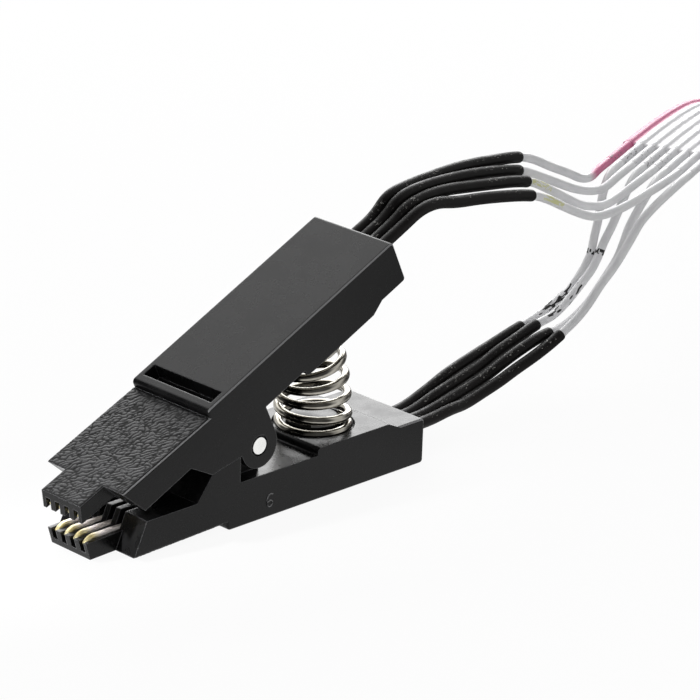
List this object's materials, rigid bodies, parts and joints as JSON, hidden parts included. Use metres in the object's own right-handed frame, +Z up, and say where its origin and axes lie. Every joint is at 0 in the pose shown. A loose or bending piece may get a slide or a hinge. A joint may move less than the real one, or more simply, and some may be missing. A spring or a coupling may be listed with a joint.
{
  "type": "ic test clip",
  "caption": "Sprung peg-like clip that presses two rows of hooked contacts onto a small chip's leads, with sleeved wires joining a flat ribbon and socket.",
  "frame": {"origin": "on the lower arm's raised outer face, straight under the pivot axis, at mid-width", "axes": "+X from the pivot towards the wires, +Y across the clip, +Z up from the face it lies on"},
  "size_m": [0.1662, 0.0446, 0.0266],
  "materials": {
    "arm_plastic": "satin with leather grain at the jaws",
    "pin_steel": "bright",
    "spring_nickel": "bright nickel plate",
    "contact_gold": "gold flash",
    "solder_tin": "dull tin",
    "heat_shrink": "satin black",
    "wire_grey": "satin light grey",
    "ribbon_grey": "satin light grey with one pink edge",
    "socket_plastic": "satin black"
  },
  "bodies": {
    "base": {"lower_arm": "arm_plastic", "pivot_pin": "pin_steel", "spring": "spring_nickel", "ribbon": "ribbon_grey", "socket_body": "socket_plastic", "socket_cover": "socket_plastic", "socket_terminals": "contact_gold", "lower_contact_1": "contact_gold", "lower_contact_2": "contact_gold", "lower_contact_3": "contact_gold", "lower_contact_4": "contact_gold", "lower_solder_1": "solder_tin", "lower_solder_2": "solder_tin", "lower_solder_3": "solder_tin", "lower_solder_4": "solder_tin", "lower_sleeve_1": "heat_shrink", "lower_sleeve_2": "heat_shrink", "lower_sleeve_3": "heat_shrink", "lower_sleeve_4": "heat_shrink", "lower_wire_1": "wire_grey", "lower_wire_2": "wire_grey", "lower_wire_3": "wire_grey", "lower_wire_4": "wire_grey", "upper_wire_1": "wire_grey", "upper_wire_2": "wire_grey", "upper_wire_3": "wire_grey", "upper_wire_4": "wire_grey"},
    "upper_jaw": {"upper_arm": "arm_plastic", "upper_contact_1": "contact_gold", "upper_contact_2": "contact_gold", "upper_contact_3": "contact_gold", "upper_contact_4": "contact_gold", "upper_solder_1": "solder_tin", "upper_solder_2": "solder_tin", "upper_solder_3": "solder_tin", "upper_solder_4": "solder_tin", "upper_sleeve_1": "heat_shrink", "upper_sleeve_2": "heat_shrink", "upper_sleeve_3": "heat_shrink", "upper_sleeve_4": "heat_shrink"}
  },
  "joints": [
    {"name": "jaw_hinge", "type": "hinge", "parent": "base", "child": "upper_jaw", "pos_m": [0, 0, 0.0075], "axis": [0, 1, 0], "range_deg": [0, 14], "stiffness_Nm_per_rad": 0.25, "springref_deg": -22.92, "deforming": ["spring", "upper_sleeve_1", "upper_sleeve_2", "upper_sleeve_3", "upper_sleeve_4", "upper_wire_1", "upper_wire_2", "upper_wire_3", "upper_wire_4"]}
  ]
}
